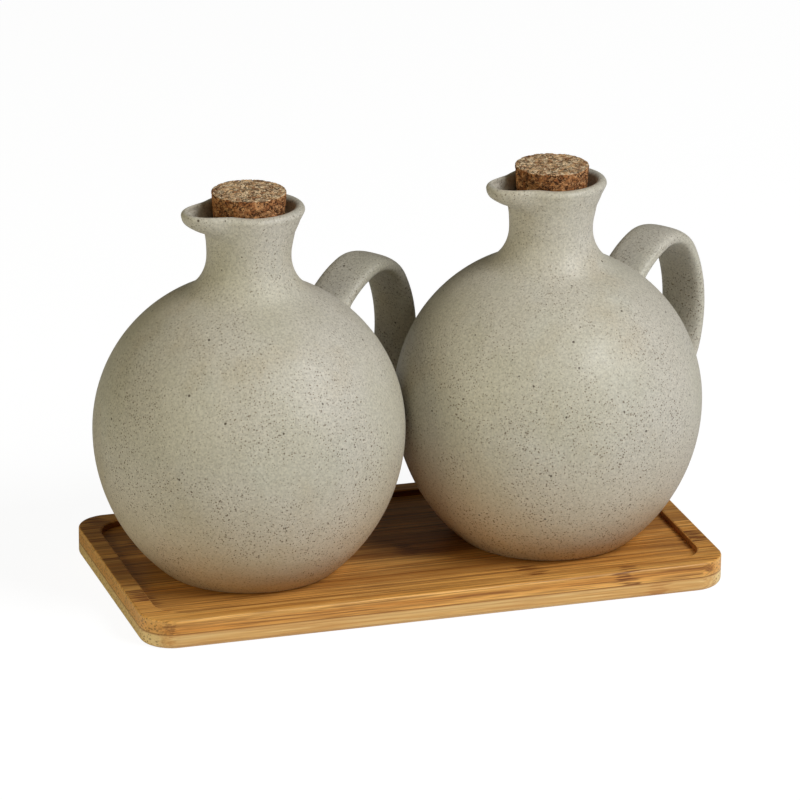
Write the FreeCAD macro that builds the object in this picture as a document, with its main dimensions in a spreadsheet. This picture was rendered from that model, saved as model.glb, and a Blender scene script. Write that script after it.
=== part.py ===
"""Oil and vinegar cruet set: two stoneware jugs with corks on a recessed bamboo tray.

Millimetres, +Z up.  The origin is the centre of the tray's underside, +X runs along the tray's
long side and the jugs stand at -X and +X.  Each jug is drawn about its own axis, foot at height
zero, handle towards its +X and spout towards its -X.  The pieces are then turned and set on the
tray, the bodies a little less than the handles, so that the spouts stand askew of the handles.
"""

import FreeCAD, Part
import math
import os

import Sketcher
from FreeCAD import Placement, Rotation, Vector

SIZES = (
    # bamboo tray: two boards, each glued up from strips
    ("tray_corner_radius", 11),
    ("base_board_thickness", 5),
    ("top_board_thickness", 5),
    ("rim_width", 6.4),
    ("recess_end_room", 13.4),
    ("recess_side_room", 14.8),
    ("recess_depth", 2.3),
    ("recess_corner_radius", 10.5),
    ("rim_edge_round", 0.7),
    ("bottom_edge_round", 2),
    ("top_strip_count", 5),
    ("base_strip_count", 6),
    # where the jugs stand
    ("jug_gap", 0.8),
    ("handle_gap", 0.8),
    # jug outside
    ("belly_radius", 51.3),
    ("belly_height", 47.2),
    ("lower_curve_excess", 9.8),
    ("foot_edge_round", 2.5),
    ("shoulder_curve", 15),
    ("neck_straight", 0.4),
    ("flare_curve", 29),
    ("flare_height", 16),
    # jug inside
    ("belly_wall", 4),
    ("neck_wall", 2.5),
    ("floor_thickness", 6),
    ("inner_shoulder_curve", 14),
    ("inner_floor_round", 8),
    ("throat_straight", 1),
    ("throat_curve", 310),
    ("foot_ring_width", 5),
    ("foot_ring_depth", 1.5),
    # lip and spout
    ("lip_depth", 8.8),
    ("lip_wall", 3.7),
    ("lip_edge_round", 1.2),
    ("spout_beyond_lip", 6.6),
    ("spout_nose_radius", 8.5),
    ("spout_wall", 3.4),
    ("spout_inset", 0.9),
    # the angle, in degrees, that the spout stands off from straight opposite the handle
    ("spout_skew", 22.5),
    # strap handle, by its centre line: how far beyond the belly and how high above its middle
    ("strap_width", 16.4),
    ("strap_thickness", 5.8),
    ("strap_edge_round", 2.6),
    ("handle_beyond_belly", 28.1),
    ("handle_back_rise", 12.8),
    ("handle_back_curve", 40),
    ("handle_top_rise", 40.8),
    ("handle_top_curve", 14.5),
    ("handle_shoulder_curve", 36),
    ("handle_heel_curve", 16),
    ("handle_heel_drop", 11.4),
    ("handle_root_depth", 13.3),
    ("handle_root_rise", 26.6),
    # cork
    ("cork_top_radius", 12.25),
    ("cork_bottom_radius", 10),
    ("cork_length", 30),
    ("cork_above_rim", 5.4),
    ("cork_clearance", 0.1),
    ("cork_edge_bevel", 0.6),
)

# share of the lip's depth at which each section of the spout is drawn
SPOUT_STATIONS = (0, 0.3, 0.6, 1)
# how far a section of the spout is drawn out where the spout has hardly begun
SPOUT_START = 0.3
# the trough is cut on a little past the rim, by this share of the lip's depth
TROUGH_OVERRUN = 1.12

doc = FreeCAD.newDocument("cruet_set")
sheet = doc.addObject("Spreadsheet::Sheet", "sizes")
for row, (alias, value) in enumerate(SIZES, start=1):
    sheet.set(f"A{row}", alias)
    sheet.set(f"B{row}", str(value))
    sheet.setAlias(f"B{row}", alias)
doc.recompute()


class Size:
    """A number that remembers how it was worked out from the sheet's cells."""

    def __init__(self, value, formula):
        self.value = value
        self.formula = formula

    def combine(self, other, sign, result):
        other = as_size(other)
        return Size(result(self.value, other.value), f"({self.formula} {sign} {other.formula})")

    def __add__(self, other):
        return self.combine(other, "+", lambda a, b: a + b)

    def __sub__(self, other):
        return self.combine(other, "-", lambda a, b: a - b)

    def __mul__(self, other):
        return self.combine(other, "*", lambda a, b: a * b)

    def __truediv__(self, other):
        return self.combine(other, "/", lambda a, b: a / b)

    def root(self):
        return Size(math.sqrt(self.value), f"sqrt({self.formula})")

    def degrees_of(self, function):
        """The angle in degrees whose cosine or tangent this number is: acos or atan."""
        return Size(math.degrees(getattr(math, function)(self.value)), f"({function}({self.formula}) / 1 deg)")

    def __float__(self):
        return float(self.value)


def as_size(number):
    return number if isinstance(number, Size) else Size(number, str(number))


def cell(alias):
    return Size(float(sheet.get(alias)), f"sizes.{alias}")


def point(x, y):
    return Vector(float(x), float(y), 0)


def short_side(longest, other):
    """The remaining side of a right triangle."""
    return (longest * longest - other * other).root()


# --- sketches ------------------------------------------------------------------------------------

def new_body(label):
    body = doc.addObject("PartDesign::Body", label)
    body.Label = label
    return body


def new_sketch(body, name, role, offset=0):
    """A sketch on one of the body's own origin planes, moved along the plane's normal."""
    sketch = body.newObject("Sketcher::SketchObject", name)
    plane = [item for item in body.Origin.OriginFeatures if item.Role == role][0]
    sketch.AttachmentSupport = [(plane, "")]
    sketch.MapMode = "FlatFace"
    sketch.setExpression("AttachmentOffset.Base.z", as_size(offset).formula)
    return sketch


def dimension(sketch, size, kind, *where):
    """A sketch dimension that follows the sheet."""
    index = sketch.addConstraint(Sketcher.Constraint(kind, *where, float(size)))
    sketch.setExpression(f"Constraints[{index}]", as_size(size).formula)


def arc_about(centre, start, end):
    """The arc that runs anticlockwise about its centre from start to end."""
    first = math.atan2(start.y - centre.y, start.x - centre.x)
    last = math.atan2(end.y - centre.y, end.x - centre.x)
    circle = Part.Circle(centre, Vector(0, 0, 1), centre.distanceToPoint(start))
    return Part.ArcOfCircle(circle, first, last)


def draw_chain(sketch, start, steps, closed=True):
    """Draw joined lines and arcs and return each one's index and its two end numbers.

    A step is (joint, kind, end) for a line, or (joint, kind, end, centre) for an arc.  The kind
    is line, left (an arc that turns left) or right, and the joint, smooth or corner, is the one
    at the step's end.
    """
    pieces = []
    here = start
    for joint, kind, end, *centre in steps:
        if kind == "line":
            pieces.append((sketch.addGeometry(Part.LineSegment(here, end)), 1, 2))
        elif kind == "left":
            pieces.append((sketch.addGeometry(arc_about(centre[0], here, end)), 1, 2))
        else:
            pieces.append((sketch.addGeometry(arc_about(centre[0], end, here)), 2, 1))
        here = end
    followers = pieces[1:] + pieces[:1] if closed else pieces[1:]
    for step, piece, follower in zip(steps, pieces, followers):
        kind = "Tangent" if step[0] == "smooth" else "Coincident"
        sketch.addConstraint(Sketcher.Constraint(kind, piece[0], piece[2], follower[0], follower[1]))
    return [piece[0] for piece in pieces]


ORIGIN = (-1, 1)
VERTICAL_AXIS = -2
HORIZONTAL_AXIS = -1


def touch_point(outer_centre, outer_radius, inner_centre):
    """Where a circle touches a larger one that holds it."""
    away = inner_centre - outer_centre
    return outer_centre + away * (float(outer_radius) / away.Length)


def draw_vessel(sketch, base, corner, belly, lower, shoulder, neck, straight, flare, top):
    """Half of a round-bellied vessel's outline, closed along its axis.

    The outline rises from a flat base, round a corner and through a lower arc to the belly, then
    over the belly and the hollow curve of the shoulder to the neck, and flares out to the top.
    """
    middle = cell("belly_height")
    shoulder_top = middle + short_side(belly + shoulder, neck + shoulder)
    neck_top = shoulder_top + straight
    flat = belly - lower + short_side(lower - corner, middle - base - corner)
    low_middle = point(belly - lower, middle)
    corner_middle = point(flat, base + corner)
    high_middle = point(0, middle)
    hollow_middle = point(neck + shoulder, shoulder_top)
    crossover = high_middle + (hollow_middle - high_middle) * float(belly / (belly + shoulder))
    lip_end = neck + flare - short_side(flare, top - neck_top)
    floor, turn, low, high, hollow, wall, lip, cover, axis = draw_chain(sketch, point(0, base), (
        ("smooth", "line", point(flat, base)),
        ("smooth", "left", touch_point(low_middle, lower, corner_middle), corner_middle),
        ("smooth", "left", point(belly, middle), low_middle),
        ("smooth", "left", crossover, high_middle),
        ("smooth", "right", point(neck, shoulder_top), hollow_middle),
        ("smooth", "line", point(neck, neck_top)),
        ("corner", "right", point(lip_end, top), point(neck + flare, neck_top)),
        ("corner", "line", point(0, top)),
        ("corner", "line", point(0, base)),
    ))
    sketch.addConstraint(Sketcher.Constraint("Horizontal", floor))
    sketch.addConstraint(Sketcher.Constraint("Horizontal", cover))
    sketch.addConstraint(Sketcher.Constraint("Vertical", axis))
    sketch.addConstraint(Sketcher.Constraint("Vertical", wall))
    sketch.addConstraint(Sketcher.Constraint("PointOnObject", floor, 1, VERTICAL_AXIS))
    sketch.addConstraint(Sketcher.Constraint("PointOnObject", high, 3, VERTICAL_AXIS))
    sketch.addConstraint(Sketcher.Constraint("Horizontal", low, 3, high, 3))
    dimension(sketch, base, "DistanceY", *ORIGIN, floor, 1)
    dimension(sketch, middle, "DistanceY", *ORIGIN, high, 3)
    dimension(sketch, top, "DistanceY", *ORIGIN, cover, 1)
    dimension(sketch, neck, "DistanceX", *ORIGIN, wall, 1)
    dimension(sketch, straight, "DistanceY", wall, 1, wall, 2)
    dimension(sketch, corner, "Radius", turn)
    dimension(sketch, belly, "Radius", high)
    dimension(sketch, lower, "Radius", low)
    dimension(sketch, shoulder, "Radius", hollow)
    dimension(sketch, flare, "Radius", lip)


def draw_cone(sketch, bottom, bottom_radius, top, top_radius):
    """Half of a cone's outline, closed along its axis."""
    floor, side, cover, axis = draw_chain(sketch, point(0, bottom), (
        ("corner", "line", point(bottom_radius, bottom)),
        ("corner", "line", point(top_radius, top)),
        ("corner", "line", point(0, top)),
        ("corner", "line", point(0, bottom)),
    ))
    sketch.addConstraint(Sketcher.Constraint("Horizontal", floor))
    sketch.addConstraint(Sketcher.Constraint("Horizontal", cover))
    sketch.addConstraint(Sketcher.Constraint("Vertical", axis))
    sketch.addConstraint(Sketcher.Constraint("PointOnObject", floor, 1, VERTICAL_AXIS))
    dimension(sketch, bottom, "DistanceY", *ORIGIN, floor, 1)
    dimension(sketch, top, "DistanceY", *ORIGIN, cover, 2)
    dimension(sketch, bottom_radius, "DistanceX", *ORIGIN, side, 1)
    dimension(sketch, top_radius, "DistanceX", *ORIGIN, side, 2)


def draw_teardrop(sketch, radius, reach, nose):
    """A circle drawn out to a rounded nose on its -X side."""
    centre = reach - nose
    lean = math.acos(float((radius - nose) / centre))
    ways = (Vector(-math.cos(lean), math.sin(lean), 0), Vector(-math.cos(lean), -math.sin(lean), 0))
    middle = point(0, 0)
    nose_middle = point(centre * -1, 0)
    body_ends = [middle + way * float(radius) for way in ways]
    nose_ends = [nose_middle + way * float(nose) for way in ways]
    top, tip, bottom, back = draw_chain(sketch, body_ends[0], (
        ("smooth", "line", nose_ends[0]),
        ("smooth", "left", nose_ends[1], nose_middle),
        ("smooth", "line", body_ends[1]),
        ("smooth", "left", body_ends[0], middle),
    ))
    sketch.addConstraint(Sketcher.Constraint("Coincident", back, 3, *ORIGIN))
    sketch.addConstraint(Sketcher.Constraint("PointOnObject", tip, 3, HORIZONTAL_AXIS))
    dimension(sketch, centre, "DistanceX", tip, 3, *ORIGIN)
    dimension(sketch, radius, "Radius", back)
    dimension(sketch, nose, "Radius", tip)


def draw_rounded_rectangle(sketch, width, height, corner, middle_height=0):
    """A rectangle with round corners about a point on the sketch's vertical axis."""
    right = width / 2
    top = height / 2 + middle_height
    x = float(right)
    upper = float(top)
    lower = upper - float(height)
    round_off = float(corner)
    low = lower + round_off
    high = upper - round_off
    centres = [point(side * (x - round_off), y) for side, y in ((-1, low), (1, low), (1, high), (-1, high))]
    shifts = (point(0, -round_off), point(round_off, 0), point(0, round_off), point(-round_off, 0))
    steps = []
    for index, shift in enumerate(shifts):
        following = (index + 1) % 4
        steps.append(("smooth", "line", centres[following] + shift))
        steps.append(("smooth", "left", centres[following] + shifts[following], centres[following]))
    edges = draw_chain(sketch, centres[0] + shifts[0], steps)
    lines = edges[0::2]
    arcs = edges[1::2]
    for index, kind in enumerate(("Horizontal", "Vertical", "Horizontal", "Vertical")):
        sketch.addConstraint(Sketcher.Constraint(kind, lines[index]))
    for arc in arcs[1:]:
        sketch.addConstraint(Sketcher.Constraint("Equal", arcs[0], arc))
    dimension(sketch, corner, "Radius", arcs[0])
    dimension(sketch, right, "DistanceX", *ORIGIN, lines[1], 1)
    dimension(sketch, width, "DistanceX", lines[3], 1, lines[1], 1)
    dimension(sketch, top, "DistanceY", *ORIGIN, lines[2], 1)
    dimension(sketch, height, "DistanceY", lines[0], 1, lines[2], 1)


# --- features ------------------------------------------------------------------------------------

def add_revolved(body, kind, name, sketch):
    feature = body.newObject(f"PartDesign::{kind}", name)
    feature.Profile = sketch
    feature.ReferenceAxis = (sketch, ["V_Axis"])
    feature.Angle = 360
    return feature


def add_loft(body, kind, name, sections):
    feature = body.newObject(f"PartDesign::{kind}", name)
    feature.Profile = sections[0]
    feature.Sections = sections[1:]
    feature.Ruled = False
    return feature


def add_edge_feature(body, kind, name, test, prop, size):
    """A fillet or chamfer on those edges of the body so far that pass a test."""
    doc.recompute()
    base = body.Tip
    names = [f"Edge{index}" for index, edge in enumerate(base.Shape.Edges, start=1) if test(edge)]
    feature = body.newObject(f"PartDesign::{kind}", name)
    feature.Base = (base, names)
    feature.setExpression(prop, as_size(size).formula)
    return feature


def lies_at(height):
    """A test for edges that lie flat at a height."""
    def test(edge):
        box = edge.BoundBox
        return abs(box.ZMin - float(height)) < 0.01 and abs(box.ZMax - float(height)) < 0.01
    return test


# --- sizes that follow from others ---------------------------------------------------------------

# where the tapered cork sits in the neck, and the neck round it
cork_taper = (cell("cork_top_radius") - cell("cork_bottom_radius")) / cell("cork_length")
seat_length = cell("cork_length") - cell("cork_above_rim") - cell("lip_depth")
seat_bottom_radius = cell("cork_bottom_radius") + cell("cork_clearance")
seat_top_radius = seat_bottom_radius + cork_taper * seat_length
neck_radius = seat_top_radius + cell("neck_wall")

# heights above the jug's foot
neck_end = cell("belly_height") + cell("neck_straight") + short_side(
    cell("belly_radius") + cell("shoulder_curve"), neck_radius + cell("shoulder_curve"))
rim_height = neck_end + cell("flare_height")
lip_base = rim_height - cell("lip_depth")
cork_bottom = lip_base - seat_length

# the foot is where the lower curve of the belly, rounded off, meets the ground
lower_curve = cell("belly_radius") + cell("lower_curve_excess")
foot_radius = short_side(lower_curve - cell("foot_edge_round"),
                         cell("belly_height") - cell("foot_edge_round")) - cell("lower_curve_excess")

# the tray holds both jugs with room round their feet
jug_spacing = cell("belly_radius") * 2 + cell("jug_gap")
tray_length = jug_spacing + (foot_radius + cell("recess_end_room") + cell("rim_width")) * 2
tray_width = (foot_radius + cell("recess_side_room") + cell("rim_width")) * 2
tray_height = cell("base_board_thickness") + cell("top_board_thickness")
recess_floor = tray_height - cell("recess_depth")


def turn_past_neighbour():
    """The jugs' turn, in degrees, at which a handle's outer corner just clears the next belly."""
    reach = cell("belly_radius") + cell("handle_beyond_belly") + cell("strap_thickness") / 2
    aside = cell("strap_width") / 2
    clear = cell("belly_radius") + cell("handle_gap")
    corner = (reach * reach + aside * aside).root()
    cosine = (corner * corner + jug_spacing * jug_spacing - clear * clear) / (corner * jug_spacing * 2)
    return cosine.degrees_of("acos") + (aside / reach).degrees_of("atan")


# --- tray ----------------------------------------------------------------------------------------

def make_board(label, bottom, thickness):
    body = new_body(label)
    outline = new_sketch(body, f"{label}_outline", "XY_Plane", bottom)
    draw_rounded_rectangle(outline, tray_length, tray_width, cell("tray_corner_radius"))
    pad = body.newObject("PartDesign::Pad", f"{label}_pad")
    pad.Profile = outline
    pad.setExpression("Length", thickness.formula)
    return body


def make_base_board():
    board = make_board("base_board", as_size(0), cell("base_board_thickness"))
    add_edge_feature(board, "Fillet", "bottom_edge", lies_at(0), "Radius", cell("bottom_edge_round"))
    return board


def make_top_board():
    board = make_board("top_board", cell("base_board_thickness"), cell("top_board_thickness"))
    outline = new_sketch(board, "recess_outline", "XY_Plane", tray_height)
    rims = cell("rim_width") * 2
    draw_rounded_rectangle(outline, tray_length - rims, tray_width - rims, cell("recess_corner_radius"))
    recess = board.newObject("PartDesign::Pocket", "recess")
    recess.Profile = outline
    recess.setExpression("Length", cell("recess_depth").formula)
    add_edge_feature(board, "Fillet", "rim_edges", lies_at(tray_height), "Radius", cell("rim_edge_round"))
    return board


def make_strips(board, prefix, count, bottom, thickness):
    """Slice a board lengthwise into the strips that it is glued up from, front to back."""
    strips = []
    width = tray_width / count
    for number in range(int(float(count))):
        saw = doc.addObject("Part::Box", f"{prefix}_saw_{number + 1}")
        saw.setExpression("Length", tray_length.formula)
        saw.setExpression("Width", width.formula)
        saw.setExpression("Height", thickness.formula)
        saw.setExpression("Placement.Base.x", (tray_length / -2).formula)
        saw.setExpression("Placement.Base.y", (width * number - tray_width / 2).formula)
        saw.setExpression("Placement.Base.z", as_size(bottom).formula)
        strip = doc.addObject("Part::Common", f"{prefix}_strip_{number + 1}")
        strip.Label = f"{prefix}_strip_{number + 1}"
        strip.Base = board
        strip.Tool = saw
        strips.append(strip)
    return strips


# --- jug -----------------------------------------------------------------------------------------

def lip_radius(share):
    """Outside radius of the flared neck at a share of the lip's depth."""
    flare = cell("flare_curve")
    above_neck = cell("flare_height") - cell("lip_depth") * (1 - share)
    return neck_radius + flare - short_side(flare, above_neck)


funnel_spread = lip_radius(1) - cell("lip_wall") - seat_top_radius
funnel_curve = (cell("lip_depth") * cell("lip_depth") / funnel_spread + funnel_spread) / 2


def funnel_radius(share):
    """Radius of the mouth's funnel at a share of the lip's depth."""
    return seat_top_radius + funnel_curve - short_side(funnel_curve, cell("lip_depth") * share)


def draw_jug_outside(sketch):
    draw_vessel(sketch, as_size(0), cell("foot_edge_round"), cell("belly_radius"), lower_curve,
                cell("shoulder_curve"), neck_radius, cell("neck_straight"), cell("flare_curve"), rim_height)


def draw_jug_inside(sketch):
    wall = cell("belly_wall")
    draw_vessel(sketch, cell("floor_thickness"), cell("inner_floor_round"), cell("belly_radius") - wall,
                lower_curve - wall, cell("inner_shoulder_curve"), seat_bottom_radius,
                cell("throat_straight"), cell("throat_curve"), lip_base)


def add_spout(body):
    """The pulled spout: teardrops that start inside the neck and grow to the rim."""
    sections = []
    tip = lip_radius(1) + cell("spout_beyond_lip")
    for index, share in enumerate(SPOUT_STATIONS):
        height = lip_base + cell("lip_depth") * share
        radius = lip_radius(share) - cell("spout_inset")
        start = radius + SPOUT_START
        swell = math.sqrt(1 - (1 - share) ** 2)
        section = new_sketch(body, f"{body.Label}_spout_{index}", "XY_Plane", height)
        draw_teardrop(section, radius, start + (tip - start) * swell, cell("spout_nose_radius"))
        sections.append(section)
    add_loft(body, "AdditiveLoft", f"{body.Label}_spout", sections)


def add_trough(body):
    """The spout's trough, which slopes up from the mouth to the spout's tip."""
    sections = []
    nose = cell("spout_nose_radius") - cell("spout_wall")
    tip = lip_radius(1) + cell("spout_beyond_lip") - cell("spout_wall")
    for index, share in enumerate(SPOUT_STATIONS[1:] + (TROUGH_OVERRUN,)):
        height = lip_base + cell("lip_depth") * share
        radius = funnel_radius(share) - cell("spout_inset")
        slope = (share - SPOUT_STATIONS[1]) / (1 - SPOUT_STATIONS[1])
        start = radius + SPOUT_START
        section = new_sketch(body, f"{body.Label}_trough_{index}", "XY_Plane", height)
        draw_teardrop(section, radius, start + (tip - start) * slope, nose)
        sections.append(section)
    add_loft(body, "SubtractiveLoft", f"{body.Label}_trough", sections)


def add_funnel(body):
    """The mouth, which opens in a curve from the cork's seat to the rim."""
    sketch = new_sketch(body, f"{body.Label}_funnel_outline", "XZ_Plane")
    bottom = seat_top_radius
    floor, side, cover, axis = draw_chain(sketch, point(0, lip_base), (
        ("corner", "line", point(bottom, lip_base)),
        ("corner", "right", point(funnel_radius(1), rim_height), point(bottom + funnel_curve, lip_base)),
        ("corner", "line", point(0, rim_height)),
        ("corner", "line", point(0, lip_base)),
    ))
    sketch.addConstraint(Sketcher.Constraint("Horizontal", floor))
    sketch.addConstraint(Sketcher.Constraint("Horizontal", cover))
    sketch.addConstraint(Sketcher.Constraint("Horizontal", floor, 1, side, 3))
    sketch.addConstraint(Sketcher.Constraint("Vertical", axis))
    sketch.addConstraint(Sketcher.Constraint("PointOnObject", floor, 1, VERTICAL_AXIS))
    dimension(sketch, lip_base, "DistanceY", *ORIGIN, floor, 1)
    dimension(sketch, rim_height, "DistanceY", *ORIGIN, cover, 2)
    dimension(sketch, bottom, "DistanceX", *ORIGIN, floor, 2)
    dimension(sketch, funnel_curve, "Radius", side)
    add_revolved(body, "Groove", f"{body.Label}_funnel", sketch)


def add_cork_seat(body):
    """The tapered bore that the cork wedges into."""
    sketch = new_sketch(body, f"{body.Label}_seat_outline", "XZ_Plane")
    draw_cone(sketch, cork_bottom, seat_bottom_radius, lip_base, seat_top_radius)
    add_revolved(body, "Groove", f"{body.Label}_seat", sketch)


def add_foot_ring(body):
    """Hollow the underside, so that the jug stands on a ring."""
    hollow_radius = foot_radius - cell("foot_ring_width")
    sketch = new_sketch(body, f"{body.Label}_foot_outline", "XY_Plane")
    circle = sketch.addGeometry(Part.Circle(Vector(), Vector(0, 0, 1), float(hollow_radius)))
    sketch.addConstraint(Sketcher.Constraint("Coincident", circle, 3, *ORIGIN))
    dimension(sketch, hollow_radius, "Radius", circle)
    hollow = body.newObject("PartDesign::Pocket", f"{body.Label}_foot_hollow")
    hollow.Profile = sketch
    hollow.Reversed = True
    hollow.setExpression("Length", cell("foot_ring_depth").formula)


def make_jug_body(side):
    """A thrown jug: the solid outside first, then the hollow, the cork's seat and the mouth."""
    label = f"{side}_jug_body"
    body = new_body(label)
    outside = new_sketch(body, f"{label}_outside", "XZ_Plane")
    draw_jug_outside(outside)
    add_revolved(body, "Revolution", f"{label}_thrown", outside)
    add_spout(body)
    inside = new_sketch(body, f"{label}_inside", "XZ_Plane")
    draw_jug_inside(inside)
    add_revolved(body, "Groove", f"{label}_hollow", inside)
    add_cork_seat(body)
    add_funnel(body)
    add_trough(body)
    add_edge_feature(body, "Fillet", f"{label}_rim", lies_at(rim_height), "Radius", cell("lip_edge_round"))
    add_foot_ring(body)
    return body


# --- handle --------------------------------------------------------------------------------------

def lower_crossing(centre, radius, other_centre, other_radius):
    """The lower of the two points where two circles cross."""
    between = other_centre - centre
    gap = between.Length
    along = (radius ** 2 - other_radius ** 2 + gap ** 2) / (2 * gap)
    aside = math.sqrt(radius ** 2 - along ** 2)
    middle = centre + between * (along / gap)
    sideways = Vector(-between.y, between.x, 0) * (aside / gap)
    return min(middle + sideways, middle - sideways, key=lambda crossing: crossing.y)


def draw_handle_path(sketch, start_x):
    """The strap's centre line: out from the belly, round the heel, up the back and over the top."""
    heel = cell("handle_heel_curve")
    back = cell("handle_back_curve")
    top = cell("handle_top_curve")
    shoulder = cell("handle_shoulder_curve")
    middle = cell("belly_height")
    start_y = middle - cell("handle_heel_drop")
    back_x = cell("belly_radius") + cell("handle_beyond_belly") - back
    back_y = middle + cell("handle_back_rise")
    top_y = middle + cell("handle_top_rise") - top
    root_x = cell("belly_radius") - cell("handle_root_depth")
    root_y = middle + cell("handle_root_rise")
    root = point(root_x, root_y)
    back_middle = point(back_x, back_y)
    heel_middle = point(back_x + short_side(back - heel, back_y - start_y - heel), start_y + heel)
    top_middle = point(back_x + short_side(back - top, top_y - back_y), top_y)
    shoulder_middle = lower_crossing(top_middle, float(shoulder - top), root, float(shoulder))
    straight, heel_arc, back_arc, top_arc, shoulder_arc = draw_chain(sketch, point(start_x, start_y), (
        ("smooth", "line", point(heel_middle.x, start_y)),
        ("smooth", "left", touch_point(back_middle, back, heel_middle), heel_middle),
        ("smooth", "left", touch_point(back_middle, back, top_middle), back_middle),
        ("smooth", "left", touch_point(shoulder_middle, shoulder, top_middle), top_middle),
        ("corner", "left", root, shoulder_middle),
    ), closed=False)
    sketch.addConstraint(Sketcher.Constraint("Horizontal", straight))
    dimension(sketch, start_x, "DistanceX", *ORIGIN, straight, 1)
    dimension(sketch, start_y, "DistanceY", *ORIGIN, straight, 1)
    dimension(sketch, heel, "Radius", heel_arc)
    dimension(sketch, back, "Radius", back_arc)
    dimension(sketch, top, "Radius", top_arc)
    dimension(sketch, shoulder, "Radius", shoulder_arc)
    dimension(sketch, back_x, "DistanceX", *ORIGIN, back_arc, 3)
    dimension(sketch, back_y, "DistanceY", *ORIGIN, back_arc, 3)
    dimension(sketch, top_y, "DistanceY", *ORIGIN, top_arc, 3)
    dimension(sketch, root_x, "DistanceX", *ORIGIN, shoulder_arc, 2)
    dimension(sketch, root_y, "DistanceY", *ORIGIN, shoulder_arc, 2)


def make_handle(side):
    """A strap swept along its centre line and trimmed to the jug's outside."""
    label = f"{side}_jug_handle"
    body = new_body(label)
    start_x = cell("belly_radius") - cell("belly_wall") * 2
    path = new_sketch(body, f"{label}_path", "XZ_Plane")
    draw_handle_path(path, start_x)
    section = new_sketch(body, f"{label}_section", "YZ_Plane", start_x)
    draw_rounded_rectangle(section, cell("strap_width"), cell("strap_thickness"),
                           cell("strap_edge_round"), cell("belly_height") - cell("handle_heel_drop"))
    doc.recompute()
    strap = body.newObject("PartDesign::AdditivePipe", f"{label}_strap")
    strap.Profile = section
    strap.Spine = (path, [f"Edge{index}" for index in range(1, len(path.Shape.Edges) + 1)])
    jug = new_sketch(body, f"{label}_jug_outline", "XZ_Plane")
    draw_jug_outside(jug)
    add_revolved(body, "Groove", f"{label}_trim", jug)
    return body


# --- cork ----------------------------------------------------------------------------------------

def make_cork(side):
    label = f"{side}_cork"
    body = new_body(label)
    cork_top = cork_bottom + cell("cork_length")
    outline = new_sketch(body, f"{label}_outline", "XZ_Plane")
    draw_cone(outline, cork_bottom, cell("cork_bottom_radius"), cork_top, cell("cork_top_radius"))
    add_revolved(body, "Revolution", f"{label}_turned", outline)

    def is_end(edge):
        return lies_at(cork_bottom)(edge) or lies_at(cork_top)(edge)

    add_edge_feature(body, "Chamfer", f"{label}_bevel", is_end, "Size", cell("cork_edge_bevel"))
    return body


# --- assembly ------------------------------------------------------------------------------------

def stand_on_tray(body, side_sign, turn):
    """Turn a jug's piece to face its way and set it in the tray's recess."""
    body.Placement = Placement(Vector(), Rotation(Vector(0, 0, 1), float(turn)))
    body.setExpression("Placement.Rotation.Angle", turn.formula)
    body.setExpression("Placement.Base.x", (jug_spacing * (side_sign / 2)).formula)
    body.setExpression("Placement.Base.z", recess_floor.formula)


def save(nodes):
    """Check every object of the document and write each sub-part to its own file."""
    doc.recompute()
    for item in doc.Objects:
        if "Invalid" in item.State or "Error" in item.State:
            raise RuntimeError(f"{item.Label} failed: {item.State}")
    for node in nodes:
        if node.Shape.isNull() or not node.Shape.isValid():
            raise RuntimeError(f"{node.Label} has no valid shape")
    os.makedirs("parts", exist_ok=True)
    for node in nodes:
        node.Shape.exportStep(f"parts/{node.Label}.step")
        box = node.Shape.BoundBox
        print(node.Label, round(node.Shape.Volume), len(node.Shape.Solids),
              [round(v, 1) for v in (box.XMin, box.YMin, box.ZMin, box.XMax, box.YMax, box.ZMax)])


nodes = make_strips(make_base_board(), "tray_base", cell("base_strip_count"),
                    as_size(0), cell("base_board_thickness"))
nodes += make_strips(make_top_board(), "tray_top", cell("top_strip_count"),
                     cell("base_board_thickness"), cell("top_board_thickness"))
for side, side_sign in (("left", -1), ("right", 1)):
    jug = [make_jug_body(side), make_handle(side), make_cork(side)]
    handle_turn = turn_past_neighbour()
    spout_turn = handle_turn - cell("spout_skew")
    for body, turn in zip(jug, (spout_turn, handle_turn, handle_turn)):
        stand_on_tray(body, side_sign, turn)
    nodes += jug
save(nodes)
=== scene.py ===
"""Looks of the cruet set: two speckled stoneware jugs with corks on a laminated bamboo tray.

Metres, in the CAD model's frame.  Each jug and cork is modelled in millimetres about its own
axis, foot at height zero and handle towards +X, and is then set in its place.
The tray's strips are the CAD model's own, with a bamboo finish.
"""

import math

import bpy
from mathutils import Matrix, Vector, noise


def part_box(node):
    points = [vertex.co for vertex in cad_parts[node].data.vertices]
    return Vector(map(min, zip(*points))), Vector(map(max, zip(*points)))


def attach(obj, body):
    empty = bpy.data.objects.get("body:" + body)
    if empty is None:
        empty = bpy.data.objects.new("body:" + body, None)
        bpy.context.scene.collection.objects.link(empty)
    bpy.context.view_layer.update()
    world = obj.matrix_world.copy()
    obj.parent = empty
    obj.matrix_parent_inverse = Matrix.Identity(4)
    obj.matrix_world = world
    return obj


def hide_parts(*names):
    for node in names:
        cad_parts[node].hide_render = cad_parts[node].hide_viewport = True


MM = 0.001
SIDES = ("left", "right")

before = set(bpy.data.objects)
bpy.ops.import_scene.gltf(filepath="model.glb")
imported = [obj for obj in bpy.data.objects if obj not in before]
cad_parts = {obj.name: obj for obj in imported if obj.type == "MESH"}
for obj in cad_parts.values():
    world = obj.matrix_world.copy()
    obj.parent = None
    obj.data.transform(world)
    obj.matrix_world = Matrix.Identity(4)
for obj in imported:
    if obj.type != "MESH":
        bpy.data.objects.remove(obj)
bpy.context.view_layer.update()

# noise.noise_vector takes its offsets from this seed, and from the clock if there is none
NOISE_SEED = 7
noise.seed_set(NOISE_SEED)


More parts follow.
